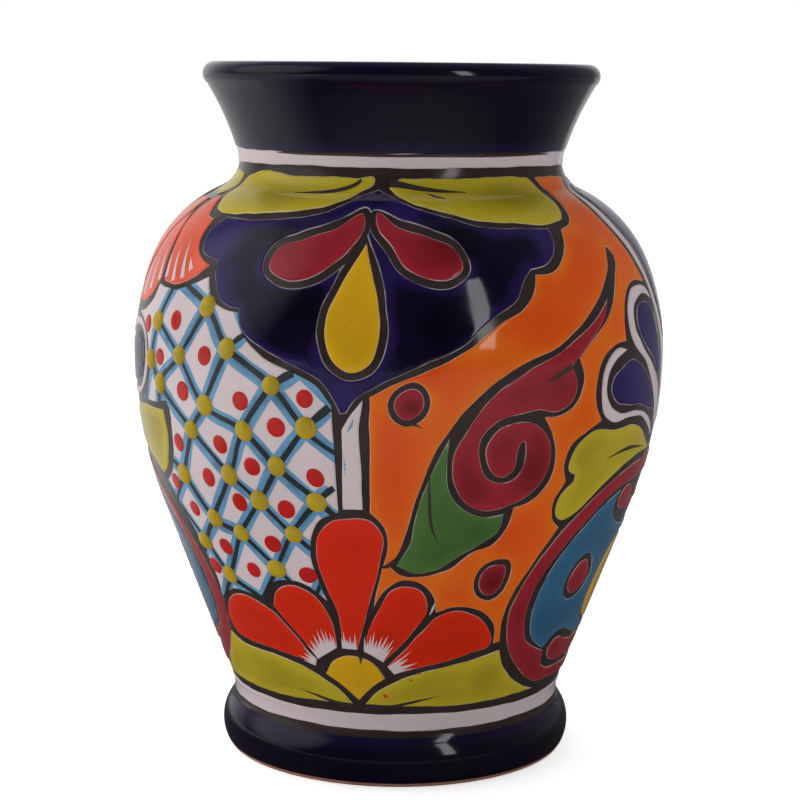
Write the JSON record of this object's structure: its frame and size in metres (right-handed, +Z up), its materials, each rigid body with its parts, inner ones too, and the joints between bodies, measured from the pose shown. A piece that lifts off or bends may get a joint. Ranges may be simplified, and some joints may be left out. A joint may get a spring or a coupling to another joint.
{
  "type": "vase",
  "caption": "Round glazed earthenware vase with a wide belly, flared neck and rolled lip, covered with raised coloured glaze pools between dark lines, for holding flowers.",
  "frame": {"origin": "centre of the standing ring, on the surface the vase stands on", "axes": "+Z up along the axis of the vase, -Y towards the side seen in the picture, +X to the right of that side"},
  "size_m": [0.1934, 0.1934, 0.25],
  "materials": {
    "terracotta": "matt fired clay",
    "cobalt": "glossy glaze",
    "line_black": "glossy glaze",
    "white": "glossy glaze",
    "lime": "glossy glaze",
    "magenta": "glossy glaze",
    "yellow": "glossy glaze",
    "sky_blue": "glossy glaze",
    "bead_yellow": "glossy glaze",
    "red": "glossy glaze",
    "orange": "glossy glaze",
    "green": "glossy glaze",
    "turquoise": "glossy glaze"
  },
  "bodies": {
    "root": {"clay_body": "terracotta", "inner_glaze": "cobalt", "rim_glaze": "cobalt", "foot_glaze": "cobalt", "line_coat": "line_black", "neck_stripe": "white", "foot_stripe": "white", "shoulder_leaves": "lime", "shield_grounds": "cobalt", "shield_petals": "magenta", "shield_drops": "yellow", "centre_strips": "white", "lattice_cells": "white", "lattice_strips": "sky_blue", "lattice_beads": "bead_yellow", "lattice_dots": "red", "orange_panels": "orange", "scrolls": "magenta", "scroll_leaves": "green", "scroll_dots": "magenta", "daisy_petals": "red", "daisy_hearts": "yellow", "base_leaves": "lime", "medallion_rims": "magenta", "medallion_fields": "turquoise", "medallion_seeds": "magenta", "medallion_cores": "yellow", "side_leaves": "lime", "flower_borders": "white", "flower_drops": "cobalt", "flower_petals": "red"}
  },
  "joints": []
}
